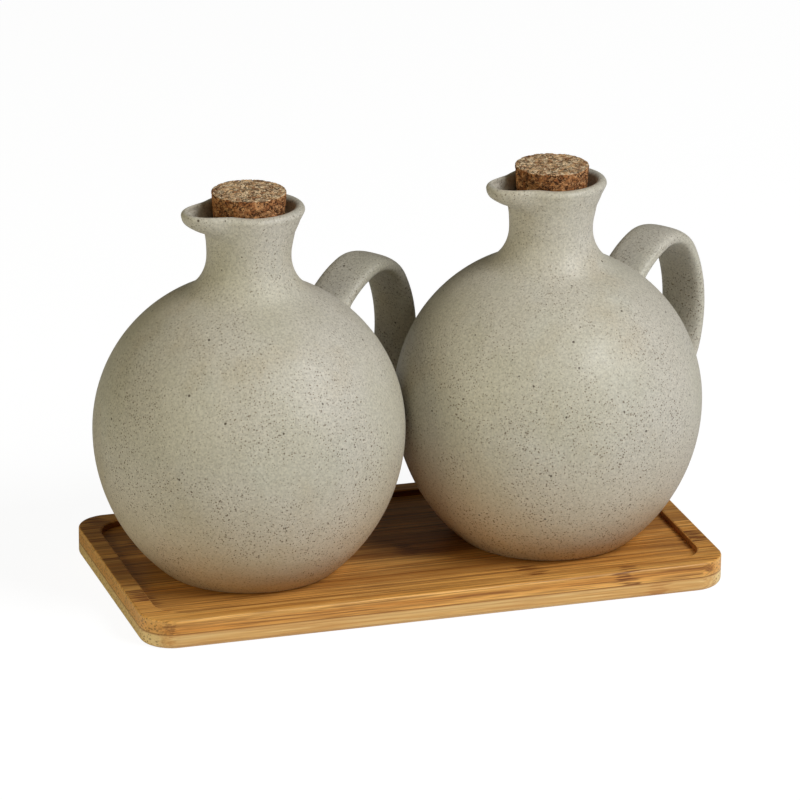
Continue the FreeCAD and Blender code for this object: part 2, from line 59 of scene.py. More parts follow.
def smooth_step(value, low, high):
    """Rises smoothly from 0 at low to 1 at high."""
    share = min(max((value - low) / (high - low), 0.0), 1.0)
    return share * share * (3 - 2 * share)


def blend(first, second, share):
    return first + (second - first) * share


def bezier(points, count, with_first=False):
    """Points along a cubic curve, without its first point unless asked."""
    a, b, c, d = [Vector(point) for point in points]
    found = []
    for step in range(0 if with_first else 1, count + 1):
        t = step / count
        s = 1 - t
        found.append(a * (s * s * s) + b * (3 * s * s * t) + c * (3 * s * t * t) + d * (t * t * t))
    return found


def arc(centre, radius, first, last, count):
    """Points along an arc between two angles in degrees, without its first point."""
    angles = [math.radians(blend(first, last, step / count)) for step in range(1, count + 1)]
    return [Vector((centre[0] + radius * math.cos(a), centre[1] + radius * math.sin(a))) for a in angles]


# --- places and sizes, read from the frame -------------------------------------------------------

def jug_axis(side):
    low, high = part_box(f"{side}_cork")
    return (low + high) / 2


def jug_turn(side):
    """The direction of the handle: that of its outermost points."""
    axis = jug_axis(side)
    spread = [vertex.co.xy - axis.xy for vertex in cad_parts[f"{side}_jug_handle"].data.vertices]
    reach = max(point.length for point in spread)
    far = sum((point for point in spread if point.length > reach - 0.3 * MM), Vector((0, 0)))
    return math.atan2(far.y, far.x)


body_low, body_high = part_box("left_jug_body")
foot_height = body_low.z
RIM = (body_high.z - foot_height) / MM
BELLY = (body_high.y - body_low.y) / 2 / MM


def place(side):
    """From a jug's own millimetres to the frame."""
    axis = jug_axis(side)
    set_down = Matrix.Translation((axis.x, axis.y, foot_height))
    return set_down @ Matrix.Rotation(jug_turn(side), 4, "Z") @ Matrix.Scale(MM, 4)


# --- meshes --------------------------------------------------------------------------------------

def make_piece(name, vertices, faces, matrix, material, body, node):
    mesh = bpy.data.meshes.new(name)
    mesh.from_pydata([matrix @ vertex for vertex in vertices], [], faces)
    mesh.polygons.foreach_set("use_smooth", [True] * len(mesh.polygons))
    mesh.materials.append(material)
    mesh.update()
    piece = bpy.data.objects.new(name, mesh)
    bpy.context.scene.collection.objects.link(piece)
    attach(piece, body)
    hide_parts(node)
    return piece


def grid_faces(rows, columns, inward=False):
    """Quads between rows of points that close round, and a fan at each end row's own pole.

    The poles are the two points after the grid: the one for the first row, then the last row's.
    """
    faces = []
    for row in range(rows - 1):
        for column in range(columns):
            after = (column + 1) % columns
            faces.append((row * columns + column, row * columns + after,
                          (row + 1) * columns + after, (row + 1) * columns + column))
    first_pole = rows * columns
    last_row = (rows - 1) * columns
    for column in range(columns):
        after = (column + 1) % columns
        faces.append((first_pole, after, column))
        faces.append((first_pole + 1, last_row + column, last_row + after))
    if inward:
        return [tuple(reversed(face)) for face in faces]
    return faces


# --- jug body ------------------------------------------------------------------------------------

MIDDLE = 47.2               # height of the belly's widest point
LOWER_EXCESS = 9.8          # the lower curve's radius is larger than the belly's by this
FOOT_ROUND = 2.5
FOOT_RING_WIDTH = 5.0
FOOT_RING_DEPTH = 1.5
NECK = 13.8
SHOULDER = 15.0
WALL = 4.0
FLOOR = 6.0
INNER_SHOULDER = 14.0
INNER_FLOOR_ROUND = 8.0
SEAT_TOP = 11.3             # radius and depth below the rim of the bore that the cork sits in
SEAT_TOP_DEPTH = 9.5
SEAT_BOTTOM = 10.1
SEAT_BOTTOM_DEPTH = 24.6
BEAD = 1.75                 # radius of the rounded lip
LIP = 13.9                  # the lip's centre line: its narrowest radius,
LIP_BACK = 3.0              # how much wider it is away from the spout,
SPOUT_REACH = 8.6           # and how far the spout reaches beyond it
SPOUT_THINNING = 0.45       # the lip's edge is this much thinner at the spout
SPOUT_SPREAD = 27.5         # the spout's half width, in degrees
SPOUT_AROUND = 157.5        # the spout's direction from the handle's, in degrees
LIP_LIFT = 0.3              # how far the lip stands above the frame's rim away from the spout,
SPOUT_LIFT = 0.6            # how much more at the spout,
SPOUT_LIFT_SPREAD = 48.0    # and the half width of that rise, in degrees
TROUGH_OPEN = 24.0          # the spout's trough is whole up to this angle from it, in degrees,
TROUGH_SHUT = 33.0          # and gone from this one on
TROUGH_TURN = 80            # over the trough the lip's roll stops short by this, in degrees
CREASE = 19.0               # how far out the trough begins,
CREASE_DEPTH = 1.1          # and how far below the rim

# Two points that the outline passes between the neck and the lip.  Each has its share of the flare,
# how far the spout pushes it out, and its depth and direction away from the spout and at the spout.
CHIN = {"share": 0.24, "push": 1.1, "depths": (9.3, 6.8), "ways": ((0.13, 1.0), (0.9, 0.62))}
CHEEK = {"share": 0.62, "push": 5.2, "depths": (5.0, 4.9), "ways": ((0.28, 1.0), (1.0, 0.62))}

JUG_COLUMNS = 240
OUTSIDE_STEPS = 42
INSIDE_STEPS = 24
LIP_STEPS = 10
BEAD_STEPS = 16
TROUGH_STEPS = 14


def neck_start(belly, hollow, neck):
    """Height above the belly's middle at which the hollow of the shoulder becomes the neck."""
    return math.sqrt((belly + hollow) ** 2 - (neck + hollow) ** 2)


def vessel_curve(base, corner, belly, excess, hollow, neck, steps):
    """The curve of a round-bellied vessel, from the edge of its flat base up to its neck."""
    lower = belly + excess
    rise = MIDDLE - base - corner
    flat = math.sqrt((lower - corner) ** 2 - rise ** 2) - excess
    lowest = -math.degrees(math.atan2(rise, flat + excess))
    top = neck_start(belly, hollow, neck)
    crossing = math.degrees(math.atan2(top, neck + hollow))
    curve = [Vector((flat, base))]
    curve += arc((flat, base + corner), corner, -90, lowest, 6)
    curve += arc((-excess, MIDDLE), lower, lowest, 0, steps)
    curve += arc((0, MIDDLE), belly, 0, crossing, steps)
    curve += arc((neck + hollow, MIDDLE + top), hollow, 180 + crossing, 180, steps // 3)
    return curve


def outline_point(shape, flare, spout):
    """A point of the outline between neck and lip, and the outline's direction there."""
    away_depth, spout_depth = shape["depths"]
    point = Vector((NECK + shape["share"] * flare + shape["push"] * spout,
                    blend(RIM - away_depth, RIM - spout_depth, spout)))
    way = Vector([blend(away, at_spout, spout) for away, at_spout in zip(*shape["ways"])])
    return point, way


def bridge(first, first_way, last, last_way, reach):
    """A curve that leaves one point and comes to another in their own directions."""
    leaving = first + first_way.normalized() * reach
    arriving = last - last_way.normalized() * reach
    return bezier((first, leaving, arriving, last), LIP_STEPS)


def neck_rows(narrow, spout, outside):
    """The outline from the shoulder up the neck to the outermost point of the lip."""
    neck_top = MIDDLE + neck_start(BELLY, SHOULDER, NECK)
    flare = narrow + BEAD - NECK
    chin, chin_way = outline_point(CHIN, flare, spout)
    cheek, cheek_way = outline_point(CHEEK, flare, spout)
    lip_way = Vector((blend(0.3, 0.1, spout), 1.0))
    start = Vector((NECK, neck_top))
    rows = bezier((start, Vector((NECK, neck_top + 3)), chin - chin_way * 1.6, chin), LIP_STEPS)
    rows += bridge(chin, chin_way, cheek, cheek_way, (cheek - chin).length / 3)
    rows += bridge(cheek, cheek_way, outside, lip_way,
                   (outside - cheek).length * blend(0.33, 0.45, spout))
    return rows


def mouth_rows(inside, turned, away, opening):
    """From the lip's inner edge, where its roll ends, over the crease and down to the cork's seat.

    At the spout, the stretch up to the crease is the floor of the trough.
    """
    way = Vector((-math.sin(math.radians(turned)), math.cos(math.radians(turned))))
    ridge = CREASE / math.cos(math.radians(min(away, TROUGH_SHUT)))
    crease = Vector((blend(inside.x - 0.1, min(ridge, inside.x - 0.3), opening),
                     blend(inside.y - 0.9, RIM - CREASE_DEPTH, opening)))
    reach = (inside - crease).length / 3
    arriving = crease + Vector((reach * opening, blend(0.3, 0.1, opening)))
    over_crease = crease + Vector((0.25, 0.03)) * opening
    rows = bezier((inside, inside + way * reach, arriving, over_crease), TROUGH_STEPS)
    below = crease - Vector((0.05, 0.35))
    rows += [below]
    seat = Vector((SEAT_TOP, RIM - SEAT_TOP_DEPTH))
    drop = below - Vector((blend(0.5, 0.1, opening), blend(2.2, 3.4, opening)))
    ledge = seat + Vector((blend(0.3, 2.9, opening), blend(2.6, 0.5, opening)))
    rows += bezier((below, drop, ledge, seat), LIP_STEPS)
    return rows


def lip_rows(phi):
    """The neck, lip and mouth at an angle in degrees from the spout, from outside to inside."""
    away = abs(phi)
    spout = math.exp(-(away / SPOUT_SPREAD) ** 2.5)
    bead = BEAD - SPOUT_THINNING * spout
    back = ((1 - math.cos(math.radians(away))) / 2) ** 3
    rise = LIP_LIFT + SPOUT_LIFT * math.exp(-(away / SPOUT_LIFT_SPREAD) ** 4)
    narrow = LIP + LIP_BACK * back
    centre = Vector((narrow + SPOUT_REACH * spout, RIM + rise - bead))
    rows = neck_rows(narrow, spout, centre + Vector((bead, 0)))

    # the crease meets the lip on either side of the spout
    opening = 1 - smooth_step(away, TROUGH_OPEN, TROUGH_SHUT)
    turned = 180 - TROUGH_TURN * opening
    rows += arc(centre, bead, 0, turned, BEAD_STEPS)
    return rows + mouth_rows(rows[-1], turned, away, opening)


def foot_rows(edge):
    """The underside, from within its hollow, over the foot ring, towards the edge of the base."""
    ring = edge - FOOT_RING_WIDTH
    return [Vector((ring * 0.5, FOOT_RING_DEPTH)), Vector((ring - 0.6, FOOT_RING_DEPTH)),
            Vector((ring - 0.1, FOOT_RING_DEPTH - 0.5)), Vector((ring, 0.4)), Vector((ring + 0.4, 0))]


def make_jug_body(side, material):
    inner_belly = BELLY - WALL
    outside = vessel_curve(0.0, FOOT_ROUND, BELLY, LOWER_EXCESS, SHOULDER, NECK, OUTSIDE_STEPS)
    inside = vessel_curve(FLOOR, INNER_FLOOR_ROUND, inner_belly, LOWER_EXCESS, INNER_SHOULDER,
                          SEAT_BOTTOM, INSIDE_STEPS)
    inner_neck = MIDDLE + neck_start(inner_belly, INNER_SHOULDER, SEAT_BOTTOM)
    bore = Vector((SEAT_BOTTOM + 0.3, max(RIM - SEAT_BOTTOM_DEPTH + 6.0, inner_neck + 0.5)))
    below_neck = foot_rows(outside[0].x) + outside
    within = [bore] + inside[::-1]
    columns = []
    for column in range(JUG_COLUMNS):
        theta = 2 * math.pi * column / JUG_COLUMNS
        phi = (math.degrees(theta) - SPOUT_AROUND + 180) % 360 - 180
        columns.append([(point, theta) for point in below_neck + lip_rows(phi) + within])
    count = len(columns[0])
    vertices = []
    for row in range(count):
        for column in columns:
            point, theta = column[row]
            vertices.append(Vector((point.x * math.cos(theta), point.x * math.sin(theta), point.y)))
    vertices.append(Vector((0, 0, FOOT_RING_DEPTH)))
    vertices.append(Vector((0, 0, FLOOR)))
    make_piece(f"{side}_jug", vertices, grid_faces(count, JUG_COLUMNS), place(side), material,
               f"{side}_jug", f"{side}_jug_body")


# --- handle --------------------------------------------------------------------------------------

STRAP_WIDTH = 16.4
STRAP_THICKNESS = 5.8
BACK_CURVE = 40.0           # the strap's centre line, as arcs
TOP_CURVE = 14.5
SHOULDER_CURVE = 36.0
HEEL_CURVE = 16.0
BEYOND_BELLY = 28.1
BACK_RISE = 12.8
TOP_RISE = 40.8
HEEL_DROP = 11.4
ROOT_DEPTH = 13.3
ROOT_RISE = 26.6
SECTION_FULLNESS = 2.7      # the power in the section's formula: 2 is an ellipse, more is fuller
FLAT_LEAN = 1.6             # the skin faces its flat sides this much more than a round one's would
LOW_FILLET = (2.6, 3.8)     # radius of the root's fillet on the strap's far edge and on its near one,
HIGH_FILLET = (1.5, 4.6)    # at the lower and the upper root
FILLET_SPREAD = 1.15        # the fillet runs this many radii over the belly,
FILLET_PULL = 0.62          # and its curve is drawn this far in to the corner
BURIED_DEPTH = 0.06         # the fillet's last edge goes this far into the belly,
BURIED_RUN = 0.4            # while it runs on by this
ROOT_REACH = 0.3            # each root lies within this share of the strap's length from its end

STRAP_COLUMNS = 56
STRAP_ROWS = 170
ROOT_ROWS = 10
HEEL_STEPS = 24
ARC_STEPS = 40
SEARCH_STEPS = 30


def lower_crossing(centre, radius, other, other_radius):
    """The lower of the two points where two circles cross."""
    between = other - centre
    gap = between.length
    along = (radius ** 2 - other_radius ** 2 + gap ** 2) / (2 * gap)
    aside = math.sqrt(radius ** 2 - along ** 2)
    middle = centre + between * (along / gap)
    sideways = Vector((-between.y, between.x)) * (aside / gap)
    return min(middle + sideways, middle - sideways, key=lambda point: point.y)


def handle_line():
    """The strap's centre line: out of the belly, round the heel, up the back and over the top."""
    heel_y = MIDDLE - HEEL_DROP
    back = Vector((BELLY + BEYOND_BELLY - BACK_CURVE, MIDDLE + BACK_RISE))
    top_y = MIDDLE + TOP_RISE - TOP_CURVE
    root = Vector((BELLY - ROOT_DEPTH, MIDDLE + ROOT_RISE))
    heel_rise = back.y - heel_y - HEEL_CURVE
    heel_out = math.sqrt((BACK_CURVE - HEEL_CURVE) ** 2 - heel_rise ** 2)
    heel = Vector((back.x + heel_out, heel_y + HEEL_CURVE))
    top_out = math.sqrt((BACK_CURVE - TOP_CURVE) ** 2 - (top_y - back.y) ** 2)
    top = Vector((back.x + top_out, top_y))
    shoulder = lower_crossing(top, SHOULDER_CURVE - TOP_CURVE, root, SHOULDER_CURVE)

    def angle(start, end):
        return math.degrees(math.atan2(end.y - start.y, end.x - start.x))

    joins = (-90, angle(back, heel), angle(back, top), angle(shoulder, top), angle(shoulder, root))
    line = [Vector((blend(BELLY - 2 * WALL, heel.x, step / HEEL_STEPS), heel_y))
            for step in range(HEEL_STEPS + 1)]
    for centre, radius, first, last in zip((heel, back, top, shoulder),
                                           (HEEL_CURVE, BACK_CURVE, TOP_CURVE, SHOULDER_CURVE),
                                           joins, joins[1:]):
        line += arc(centre, radius, first, last, ARC_STEPS)
    return line


def belly_surface(point):
    """A point's height over the jug's outside, and the direction straight out of it there."""
    across = math.hypot(point.x, point.y)
    excess = LOWER_EXCESS if point.z < MIDDLE else 0.0
    radial = Vector((across + excess, point.z - MIDDLE))
    outward = Vector((point.x / across * radial.x, point.y / across * radial.x, radial.y))
    return radial.length - BELLY - excess, outward / radial.length


def strap_point(line, lengths, distance, around):
    """A point of the strap's skin, a way along its centre line and round its section."""
    index = 1
    while index < len(lengths) - 1 and lengths[index] < distance:
        index += 1
    share = (distance - lengths[index - 1]) / (lengths[index] - lengths[index - 1])
    here = line[index - 1].lerp(line[index], share)
    before = line[max(index - 2, 0)]
    after = line[min(index + 1, len(line) - 1)]
    way = (after - before).normalized()
    out = Vector((way.y, -way.x))
    cosine = math.cos(around)
    sine = math.sin(around)
    # a flattened oval: rounder than a rectangle, fuller than an ellipse
    full = (abs(cosine) ** SECTION_FULLNESS + abs(sine) ** SECTION_FULLNESS) ** (-1 / SECTION_FULLNESS)
    across = cosine * full * STRAP_WIDTH / 2
    off = sine * full * STRAP_THICKNESS / 2
    centre = Vector((here.x, 0, here.y))
    outward = Vector((out.x, 0, out.y))
    skin = centre + outward * off + Vector((0, across, 0))
    facing = (outward * sine * FLAT_LEAN + Vector((0, cosine, 0))).normalized()
    return skin, facing


def root_curve(line, lengths, around, inner, outer, radius):
    """How far along the strap its skin leaves the fillet, and the fillet's points from there in."""
    low, high = inner, outer
    for _ in range(SEARCH_STEPS):
        middle = (low + high) / 2
        skin, _facing = strap_point(line, lengths, middle, around)
        if belly_surface(skin)[0] > 0:
            high = middle
        else:
            low = middle
    landing, facing = strap_point(line, lengths, high, around)
    leave = high + radius if outer > inner else high - radius
    start, _facing = strap_point(line, lengths, leave, around)
    out = belly_surface(landing)[1]
    spread = facing - out * facing.dot(out)
    end = landing + spread.normalized() * radius * FILLET_SPREAD
    height, out = belly_surface(end)
    end -= out * height
    points = bezier((start, start.lerp(landing, FILLET_PULL), end.lerp(landing, FILLET_PULL), end),
                    ROOT_ROWS)
    buried = end - belly_surface(end)[1] * BURIED_DEPTH + spread.normalized() * BURIED_RUN
    return leave, points + [buried]


def make_handle(side, material):
    line = handle_line()
    lengths = [0.0]
    for before, after in zip(line, line[1:]):
        lengths.append(lengths[-1] + (after - before).length)
    whole = lengths[-1]
    columns = []
    for column in range(STRAP_COLUMNS):
        around = 2 * math.pi * column / STRAP_COLUMNS
        # the seam is pressed tighter on the strap's far edge than on its near one
        near = 0.5 - 0.5 * math.cos(around)
        first, low_root = root_curve(line, lengths, around, 0.0, whole * ROOT_REACH,
                                     blend(*LOW_FILLET, near))
        last, high_root = root_curve(line, lengths, around, whole, whole * (1 - ROOT_REACH),
                                     blend(*HIGH_FILLET, near))
        strap = [strap_point(line, lengths, blend(first, last, step / STRAP_ROWS), around)[0]
                 for step in range(STRAP_ROWS + 1)]
        columns.append(low_root[::-1] + strap + high_root)
    count = len(columns[0])
    vertices = [column[row] for row in range(count) for column in columns]
    for row in (0, count - 1):
        vertices.append(sum((column[row] for column in columns), Vector()) / STRAP_COLUMNS)
    faces = grid_faces(count, STRAP_COLUMNS, inward=True)
    make_piece(f"{side}_handle", vertices, faces, place(side), material,
               f"{side}_jug", f"{side}_jug_handle")


# --- cork ----------------------------------------------------------------------------------------

CORK_TOP = 12.25
CORK_BOTTOM = 10.0
CORK_LENGTH = 30.0
CORK_ABOVE_RIM = 5.4
CORK_ROUND = 0.5
CRUMB = 1.8                 # size of the pressed granules
CREVICE = 0.45              # depth of the gaps between them
GRIT = 0.07                 # roughness of each granule's own skin
CORK_DIMPLE = 0.1           # the middle of the top lies this far down, among the granules
CORK_SEED = Vector((3.7, 1.3, 8.1))

CORK_COLUMNS = 200
BOTTOM_STEPS = 22
SIDE_STEPS = 70
TOP_STEPS = 32


def crumble(point, seed):
    """How deep the cork's skin lies below a smooth one: gaps between granules, and pits."""
    wander = noise.noise_vector(point * 0.9 + seed) * 0.6
    near, second = noise.voronoi((point + wander) / CRUMB + seed)[0][:2]
    gap = 1 - smooth_step(second - near, 0.02, 0.24)
    loose = smooth_step(noise.noise(point * 0.35 + seed), -0.1, 0.5)
    pit = smooth_step(noise.noise(point * 1.7 - seed), 0.35, 0.6)
    grit = 0.5 + 0.5 * noise.noise(point * 3.5 + seed)
    return CREVICE * (gap * blend(0.35, 1.0, loose) + 0.5 * pit) + GRIT * grit


def cork_profile(bottom, top):
    """The cork's outline, from the middle of its bottom round to the middle of its top."""
    profile = [Vector((CORK_BOTTOM * step / BOTTOM_STEPS, bottom)) for step in range(1, BOTTOM_STEPS)]
    profile += arc((CORK_BOTTOM - CORK_ROUND, bottom + CORK_ROUND), CORK_ROUND, -90, 0, 3)
    for step in range(1, SIDE_STEPS):
        share = step / SIDE_STEPS
        profile.append(Vector((blend(CORK_BOTTOM, CORK_TOP, share),
                               blend(bottom + CORK_ROUND, top - CORK_ROUND, share))))
    profile += arc((CORK_TOP - CORK_ROUND, top - CORK_ROUND), CORK_ROUND, 0, 90, 4)
    profile += [Vector((CORK_TOP * (1 - step / TOP_STEPS), top)) for step in range(2, TOP_STEPS)]
    return profile


def outward_normals(profile):
    """The direction straight out of an outline at each of its points."""
    normals = []
    for index in range(len(profile)):
        before = profile[max(index - 1, 0)]
        after = profile[min(index + 1, len(profile) - 1)]
        way = (after - before).normalized()
        normals.append(Vector((way.y, -way.x)))
    return normals


def make_cork(side, material):
    bottom = RIM + CORK_ABOVE_RIM - CORK_LENGTH
    top = bottom + CORK_LENGTH
    seed = CORK_SEED * (1 + SIDES.index(side))
    profile = cork_profile(bottom, top)
    vertices = []
    for point, normal in zip(profile, outward_normals(profile)):
        for column in range(CORK_COLUMNS):
            theta = 2 * math.pi * column / CORK_COLUMNS
            around = Vector((math.cos(theta), math.sin(theta), 0))
            skin = around * point.x + Vector((0, 0, point.y))
            outward = around * normal.x + Vector((0, 0, normal.y))
            vertices.append(skin - outward * crumble(skin, seed))
    vertices.append(Vector((0, 0, bottom)))
    vertices.append(Vector((0, 0, top - CORK_DIMPLE)))
    faces = grid_faces(len(profile), CORK_COLUMNS)
    make_piece(f"{side}_stopper", vertices, faces, place(side), material,
               f"{side}_stopper", f"{side}_cork")


# --- materials -----------------------------------------------------------------------------------

def linear(red, green, blue):
    """A colour given as on a screen, 0 to 255, for a shader."""
    def channel(value):
        share = value / 255
        return share / 12.92 if share <= 0.04045 else ((share + 0.055) / 1.055) ** 2.4
    return (channel(red), channel(green), channel(blue), 1.0)


class Finish:
    """A node material: each method adds a node and returns its output."""

    def __init__(self, name, roughness, specular=0.5, coat=0.0, coat_roughness=0.3):
        self.material = bpy.data.materials.new(name)
        self.material.use_nodes = True
        self.tree = self.material.node_tree
        self.shader = self.tree.nodes["Principled BSDF"]
        self.shader.inputs["Roughness"].default_value = roughness
        self.shader.inputs["Specular IOR Level"].default_value = specular
        self.shader.inputs["Coat Weight"].default_value = coat
        self.shader.inputs["Coat Roughness"].default_value = coat_roughness
        self.place = self.add("ShaderNodeTexCoord", {}).outputs["Object"]

    def add(self, kind, inputs, **settings):
        node = self.tree.nodes.new(kind)
        for name, value in settings.items():
            setattr(node, name, value)
        for name, value in inputs.items():
            if isinstance(value, bpy.types.NodeSocket):
                self.tree.links.new(value, node.inputs[name])
            else:
                node.inputs[name].default_value = value
        return node

    def maths(self, operation, first, second=0.0):
        return self.add("ShaderNodeMath", {0: first, 1: second}, operation=operation).outputs[0]

    def times(self, first, second):
        return self.maths("MULTIPLY", first, second)

    def axis(self, name, vector=None):
        split = self.add("ShaderNodeSeparateXYZ", {"Vector": vector or self.place})
        return split.outputs[name]

    def stretched(self, x, y, z, shift=(0.0, 0.0, 0.0)):
        node = self.add("ShaderNodeMapping",
                        {"Vector": self.place, "Scale": (x, y, z), "Location": shift})
        return node.outputs["Vector"]

    def facing(self):
        """The direction that the surface faces."""
        return self.add("ShaderNodeNewGeometry", {}).outputs["Normal"]

    def noise(self, scale, detail=3.0, roughness=0.55, vector=None, distortion=0.0):
        node = self.add("ShaderNodeTexNoise",
                        {"Vector": vector or self.place, "Scale": scale, "Detail": detail,
                         "Roughness": roughness, "Distortion": distortion})
        return node.outputs["Fac"]

    def cells(self, scale, vector=None, feature="F1"):
        return self.add("ShaderNodeTexVoronoi", {"Vector": vector or self.place, "Scale": scale},
                        feature=feature)

    def between(self, value, low, high, first=0.0, second=1.0):
        """Runs smoothly from first to second as a value goes from low to high."""
        node = self.add("ShaderNodeMapRange", {"Value": value, "From Min": low, "From Max": high,
                                               "To Min": first, "To Max": second},
                        interpolation_type="SMOOTHSTEP")
        return node.outputs["Result"]

    def mix(self, share, first, second, mode="MIX"):
        node = self.add("ShaderNodeMix", {}, data_type="RGBA", blend_type=mode)
        # a Mix node's colours have these places among its sockets
        sockets = (node.inputs[0], node.inputs[6], node.inputs[7])
        for socket, value in zip(sockets, (share, first, second)):
            if isinstance(value, bpy.types.NodeSocket):
                self.tree.links.new(value, socket)
            else:
                socket.default_value = value
        return node.outputs[2]

    def shaded(self, colour, level):
        """The colour, darker or lighter by a level that changes from place to place."""
        grey = self.add("ShaderNodeCombineColor", {"Red": level, "Green": level, "Blue": level})
        return self.mix(1.0, colour, grey.outputs[0], mode="MULTIPLY")

    def jittered(self, scale, amount):
        """The place, pushed about by a noise, so that what is drawn there has ragged edges."""
        push = self.add("ShaderNodeTexNoise", {"Vector": self.place, "Scale": scale, "Detail": 2.0})
        centred = self.add("ShaderNodeVectorMath", {0: push.outputs["Color"], 1: (0.5, 0.5, 0.5)},
                           operation="SUBTRACT")
        scaled = self.add("ShaderNodeVectorMath", {0: centred.outputs[0], "Scale": amount},
                          operation="SCALE")
        moved = self.add("ShaderNodeVectorMath", {0: self.place, 1: scaled.outputs[0]},
                         operation="ADD")
        return moved.outputs[0]

    def paint(self, colour, roughness=None, heights=()):
        """Links the colour and, if given, the roughness and pairs of height and depth in metres."""
        self.tree.links.new(colour, self.shader.inputs["Base Color"])
        if roughness is not None:
            self.tree.links.new(roughness, self.shader.inputs["Roughness"])
        normal = None
        for height, depth in heights:
            inputs = {"Height": height, "Distance": depth, "Strength": 1.0}
            if normal is not None:
                inputs["Normal"] = normal
            normal = self.add("ShaderNodeBump", inputs).outputs["Normal"]
        if normal is not None:
            self.tree.links.new(normal, self.shader.inputs["Normal"])
        return self.material


def specks(finish, scale, size, share, vector):
    """Round dots: a mask that is 1 inside them.

    Scale is the number of cells to a metre, size the largest dot's radius as a part of the cell,
    and share the part of the cells that have a dot.
    """
    cells = finish.cells(scale, vector)
    random = finish.axis("X", cells.outputs["Color"])
    chosen = finish.maths("GREATER_THAN", random, 1 - share)
    other = finish.axis("Y", cells.outputs["Color"])
    radius = finish.times(chosen, finish.between(other, 0.0, 1.0, size * 0.5, size))
    edge = finish.maths("SUBTRACT", radius, cells.outputs["Distance"])
    return finish.between(edge, 0.0, size * 0.2)


# each kind of speck, small to large: its scale, size and share, how strongly it colours, its colour
SPECKS = (
    (2300, 0.36, 0.8, 0.5, (118, 96, 64)),
    (1250, 0.34, 1.0, 0.9, (100, 78, 50)),
    (620, 0.23, 1.0, 0.8, (88, 68, 44)),
)


def stoneware():
    """Matte greige glaze over a speckled clay."""
    finish = Finish("stoneware", roughness=0.5, specular=0.5)
    clouds = finish.between(finish.noise(22, 3), 0.35, 0.65)
    base = finish.mix(clouds, linear(196, 190, 172), linear(203, 196, 182))
    warm = finish.noise(38, 4, vector=finish.stretched(1, 1, 0.7, (0.3, 0.1, 0.6)))
    base = finish.mix(finish.between(warm, 0.52, 0.75, 0.0, 0.4), base, linear(188, 172, 142))
    cool = finish.noise(55, 3, vector=finish.stretched(1, 1, 1, (0.9, 0.4, 0.2)))
    base = finish.mix(finish.between(cool, 0.5, 0.8, 0.0, 0.35), base, linear(206, 204, 192))
    base = finish.shaded(base, finish.between(finish.noise(1300, 2), 0.3, 0.7, 0.86, 1.1))

    # the lower part is painted browner and darker: painted shade and warm bounce light from the tray
    height = finish.axis("Z")
    colour = finish.mix(finish.between(height, 0.06, 0.015, 0.0, 0.45), base, linear(200, 172, 128))

    # the specks crowd together in patches, and more so low down; the large ones lie anywhere
    ragged = finish.jittered(1900, 0.0003)
    low = finish.between(height, 0.11, 0.03, 0.65, 1.1)
    patches = finish.between(finish.noise(45, 3), 0.36, 0.6, 0.45, 1.0)
    crowd = finish.times(low, patches)
    for scale, size, share, strength, shade in SPECKS:
        dots = finish.times(specks(finish, scale, size, share, ragged), crowd)
        colour = finish.mix(finish.times(dots, strength), colour, linear(*shade))
    large = specks(finish, 210, 0.1, 0.5, ragged)
    colour = finish.mix(finish.times(large, 0.85), colour, linear(66, 50, 34))
    rough = finish.between(finish.noise(60, 3), 0.3, 0.7, 0.44, 0.56)
    return finish.paint(colour, rough, (
        (finish.noise(70, 2), 0.0006),
        (finish.noise(700, 3), 0.00012),
        (large, -0.00008),
    ))


CHIPS_PER_METRE = 680


def pressed_cork():
    """Granules of cork in several browns, pressed and glued, with dark gaps."""
    finish = Finish("pressed_cork", roughness=0.85, specular=0.2)
    ragged = finish.jittered(900, 0.0022)
    flat = finish.add("ShaderNodeMapping", {"Vector": ragged, "Scale": (1.0, 1.0, 1.5)})
    flat = flat.outputs["Vector"]
    chips = finish.cells(CHIPS_PER_METRE, flat)
    random = finish.axis("X", chips.outputs["Color"])
    other = finish.axis("Y", chips.outputs["Color"])
    # painted light: faces that look up are drawn paler than the side, as if lit from above
    top = finish.between(finish.axis("Z", finish.facing()), 0.5, 0.85)
    pale = finish.mix(top, linear(212, 156, 106), linear(255, 226, 186))
    brown = finish.mix(top, linear(172, 114, 68), linear(240, 194, 144))
    colour = finish.mix(finish.between(random, 0.1, 0.9), pale, brown)
    colour = finish.mix(finish.between(other, 0.6, 0.9, 0.0, 0.7), colour, linear(158, 96, 54))
    colour = finish.shaded(colour, finish.between(finish.noise(1500, 5, 0.75), 0.32, 0.66, 0.55, 1.2))
    edges = finish.cells(CHIPS_PER_METRE, flat, feature="DISTANCE_TO_EDGE").outputs["Distance"]
    gap = finish.between(edges, 0.12, 0.03)
    patchy = finish.between(finish.noise(480, 3), 0.42, 0.56)
    dark = finish.times(gap, patchy)
    drawn_out = finish.stretched(1.0, 1.0, 1.8)
    flecks = finish.noise(900, 4, 0.7, vector=drawn_out, distortion=1.5)
    dark = finish.maths("MAXIMUM", dark, finish.between(flecks, 0.565, 0.61))
    # painted light: the dark gaps are drawn fainter on the lit top
    darkness = finish.times(dark, finish.between(top, 0.0, 1.0, 0.95, 0.75))
    colour = finish.mix(darkness, colour, linear(62, 34, 18))
    return finish.paint(colour, None, (
        (finish.maths("SUBTRACT", 1.0, dark), 0.0005),
        (finish.noise(2400, 3), 0.0002),
    ))


KNUCKLE_SPACING = 0.19
TRAY_HALF_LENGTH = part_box("tray_top_strip_3")[1].x
TRAY_HALF_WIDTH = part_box("tray_top_strip_5")[1].y
RIM_INSET = 4.5 * MM        # the recess's wall lies further in than this, the outer side does not
SEAM_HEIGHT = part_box("tray_top_strip_1")[0].z
RECESS_FLOOR = foot_height


def slat_width(strip, slats):
    """The width of one slat, of which a strip of the frame holds a number.

    It is a hair more than an even share, so that no glue line falls on the tray's own sides.
    """
    low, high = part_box(strip)
    return (high.y - low.y) / slats * 1.005


